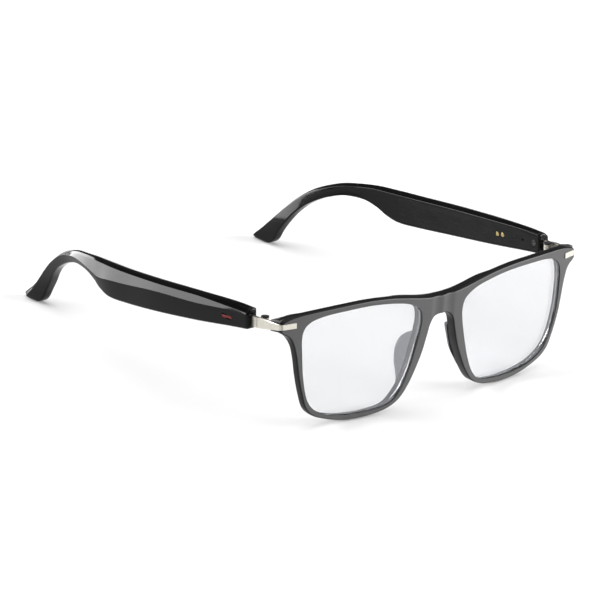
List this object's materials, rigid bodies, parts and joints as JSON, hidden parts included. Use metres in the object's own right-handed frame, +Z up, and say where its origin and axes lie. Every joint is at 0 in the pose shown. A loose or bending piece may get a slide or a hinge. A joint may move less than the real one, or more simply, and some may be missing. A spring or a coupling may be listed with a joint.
{
  "type": "smart glasses",
  "caption": "Full-rim smart glasses: black rectangular front with clear lenses and two folding temples that hold battery, board, speaker and touch control.",
  "frame": {"origin": "on the table, under the middle of the open glasses' bounding box", "axes": "+Z up; the wearer looks along -Y; +X towards the wearer's left"},
  "size_m": [0.1478, 0.153, 0.0434],
  "materials": {
    "frame_black": "polished moulded plastic with a fine grain",
    "temple_black": "glossy moulded plastic",
    "cover_black": "satin moulded plastic",
    "pad_black": "satin silicone",
    "clear_lens": "clear, coated",
    "satin_silver": "satin",
    "dark_steel": "blackened",
    "battery_foil": "pouch foil",
    "board_green": "solder mask",
    "speaker_black": "matte",
    "mesh_steel": "black woven mesh",
    "can_steel": "bright",
    "light_pipe": "smoked clear",
    "sensor_copper": "foil",
    "gold_contact": "gold plated",
    "mark_red": "painted inlay"
  },
  "bodies": {
    "front": {"front_frame": "frame_black", "lens_left": "clear_lens", "nose_pad_left": "pad_black", "front_leaf_left": "satin_silver", "end_screw_left": "dark_steel", "hinge_screw_left": "dark_steel", "lens_right": "clear_lens", "nose_pad_right": "pad_black", "front_leaf_right": "satin_silver", "end_screw_right": "dark_steel", "hinge_screw_right": "dark_steel"},
    "left_temple": {"temple_shell_left": "temple_black", "temple_cover_left": "cover_black", "temple_leaf_left": "satin_silver", "cover_screw_left": "dark_steel", "battery_left": "battery_foil", "circuit_board_left": "board_green", "speaker_left": "speaker_black", "speaker_mesh_left": "mesh_steel", "microphone_left": "can_steel", "status_light_left": "light_pipe", "touch_sensor_left": "sensor_copper", "tip_wire_left": "can_steel", "charge_contact_front_left": "gold_contact", "charge_contact_rear_left": "gold_contact"},
    "right_temple": {"temple_shell_right": "temple_black", "temple_cover_right": "cover_black", "temple_leaf_right": "satin_silver", "cover_screw_right": "dark_steel", "battery_right": "battery_foil", "circuit_board_right": "board_green", "speaker_right": "speaker_black", "speaker_mesh_right": "mesh_steel", "microphone_right": "can_steel", "status_light_right": "light_pipe", "touch_sensor_right": "sensor_copper", "tip_wire_right": "can_steel", "charge_contact_front_right": "gold_contact", "charge_contact_rear_right": "gold_contact", "touch_mark_right": "mark_red"}
  },
  "joints": [
    {"name": "left_temple_fold", "type": "hinge", "parent": "front", "child": "left_temple", "pos_m": [0.0676, -0.0578, 0.03778], "axis": [0, 0.1132, 0.9936], "range_deg": [0, 86]},
    {"name": "right_temple_fold", "type": "hinge", "parent": "front", "child": "right_temple", "pos_m": [-0.0676, -0.0578, 0.03778], "axis": [0, -0.1132, -0.9936], "range_deg": [0, 79]}
  ]
}
